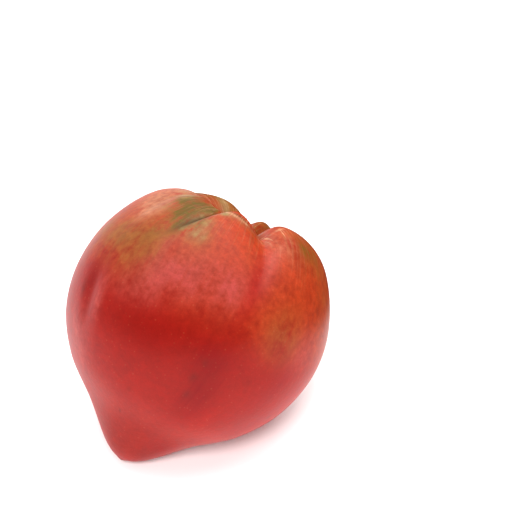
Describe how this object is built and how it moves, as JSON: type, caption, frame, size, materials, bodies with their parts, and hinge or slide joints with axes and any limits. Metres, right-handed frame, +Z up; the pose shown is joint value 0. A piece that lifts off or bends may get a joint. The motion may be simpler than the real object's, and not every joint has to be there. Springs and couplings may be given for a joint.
{
  "type": "tomato",
  "caption": "Whole ripe oxheart tomato lying on its side, with pleated shoulders, a stem cavity with a corky scar and a blunt blossom tip.",
  "frame": {"origin": "on the surface that the fruit rests on, under the middle of its bounding box", "axes": "+Z up; the fruit's own axis, from blossom tip to stem end, heads along +Y and rises 47 degrees from the surface; +X is to the right of it"},
  "size_m": [0.0914, 0.0924, 0.0879],
  "materials": {
    "tomato_skin": null
  },
  "bodies": {
    "root": {"tomato_fruit": "tomato_skin"}
  },
  "joints": []
}
